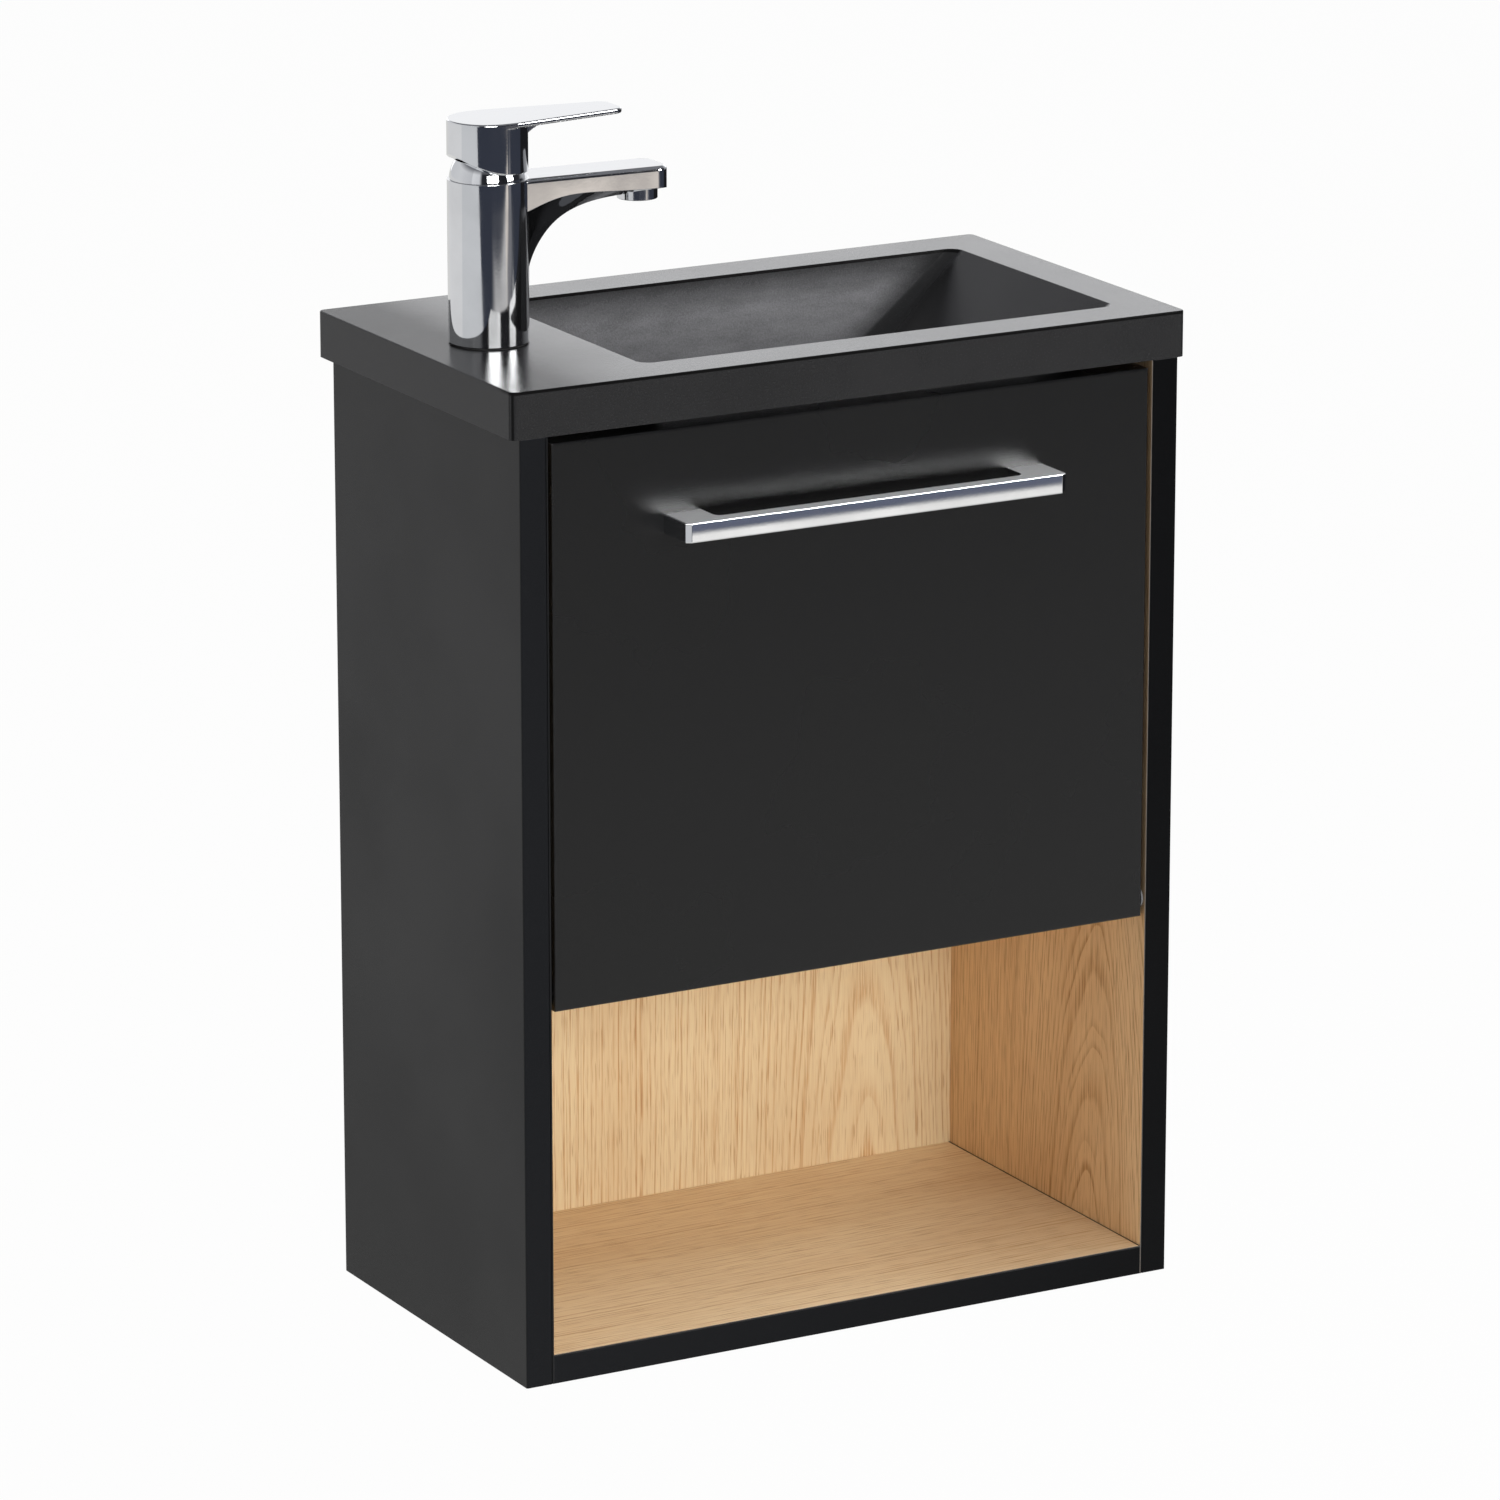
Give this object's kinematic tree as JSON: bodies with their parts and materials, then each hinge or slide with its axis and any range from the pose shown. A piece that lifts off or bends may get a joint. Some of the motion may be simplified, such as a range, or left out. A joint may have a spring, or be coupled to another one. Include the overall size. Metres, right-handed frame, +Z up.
{
  "type": "wall-hung vanity unit with basin",
  "caption": "Small wall-hung vanity: black cast basin with a side tap over a black cabinet with a drop-down front and an open oak niche.",
  "frame": {"origin": "midway between the two wall fixing holes of the hanging rail, on the wall plane", "axes": "+X to the right seen from the front, +Y into the wall, +Z up"},
  "size_m": [0.45, 0.278, 0.7327],
  "materials": {
    "mineral_cast": "satin black cast mineral",
    "black_panel": "matt black decor on wood board",
    "oak_decor": "light oak decor on wood board",
    "beech": "plain wood",
    "chrome": "polished",
    "brass": "plain",
    "steel": "zinc plated",
    "rubber": "matt",
    "grey_plastic": "moulded",
    "white_plastic": "moulded",
    "index_plastic": "moulded"
  },
  "bodies": {
    "cabinet": {"basin": "mineral_cast", "tap_body": "chrome", "tap_collar": "chrome", "aerator_ring": "chrome", "waste_body": "chrome", "aerator_insert": "grey_plastic", "cartridge_housing": "grey_plastic", "plug_guide": "grey_plastic", "pivot_bushes": "grey_plastic", "flap_stops": "grey_plastic", "wall_spacers": "grey_plastic", "trap_inlet_nut": "white_plastic", "trap_inlet_pipe": "white_plastic", "trap_body": "white_plastic", "trap_cup": "white_plastic", "trap_outlet_nut": "white_plastic", "trap_outlet_pipe": "white_plastic", "waste_nut": "white_plastic", "tap_base_seal": "rubber", "tap_rubber_washer": "rubber", "waste_seal": "rubber", "waste_washer": "rubber", "cartridge_ring": "brass", "tap_stud_nut": "brass", "tap_stud": "steel", "tap_steel_washer": "steel", "stay_side_bracket": "steel", "wall_rail": "steel", "hanger_brackets": "steel", "bracket_screws": "steel", "cam_bolts": "steel", "cam_locks": "steel", "left_side_panel": "black_panel", "right_side_panel": "black_panel", "bottom_panel": "black_panel", "left_lining": "oak_decor", "right_lining": "oak_decor", "bottom_lining": "oak_decor", "niche_back_panel": "oak_decor", "fixed_shelf": "oak_decor", "rear_rail": "oak_decor", "dowels": "beech"},
    "flap": {"flap_panel": "black_panel", "flap_handle": "chrome", "handle_screws": "steel", "pivot_pins": "steel", "stay_flap_bracket": "steel", "flap_bracket_screws": "steel"},
    "stay_side_arm": {"stay_side_arm": "steel"},
    "stay_flap_arm": {"stay_flap_arm": "steel"},
    "tap_swivel": {"cartridge_rotor": "grey_plastic", "lever_pivot_pin": "steel"},
    "tap_lever": {"tap_lever": "chrome", "lever_stem": "brass", "lever_grub_screw": "steel", "lever_index_plug": "index_plastic"},
    "waste_plug": {"waste_plug": "chrome"}
  },
  "joints": [
    {"name": "flap_hinge", "type": "hinge", "parent": "cabinet", "child": "flap", "pos_m": [0, -0.241, -0.2965], "axis": [1, 0, 0], "range_deg": [0, 90]},
    {"name": "stay_side_pivot", "type": "hinge", "parent": "cabinet", "child": "stay_side_arm", "pos_m": [-0.19775, -0.186, -0.2015], "axis": [1, 0, 0], "range_deg": [0, 90]},
    {"name": "stay_knee", "type": "hinge", "parent": "stay_side_arm", "child": "stay_flap_arm", "pos_m": [-0.19475, -0.164, -0.0715], "axis": [1, 0, 0], "range_deg": [-90, 0]},
    {"name": "tap_temperature", "type": "hinge", "parent": "cabinet", "child": "tap_swivel", "pos_m": [-0.175, -0.125, 0.161], "axis": [0, 0, 1], "range_deg": [-45, 45]},
    {"name": "tap_flow", "type": "hinge", "parent": "tap_swivel", "child": "tap_lever", "pos_m": [-0.175, -0.125, 0.161], "axis": [0, -1, 0], "range_deg": [0, 25]},
    {"name": "plug_slide", "type": "slide", "parent": "cabinet", "child": "waste_plug", "axis": [0, 0, 1], "range_m": [0, 0.008]}
  ],
  "couplings": [
    {"joint": "stay_side_pivot", "follows": "flap_hinge", "ratio": 1},
    {"joint": "stay_knee", "follows": "flap_hinge", "ratio": -1}
  ]
}
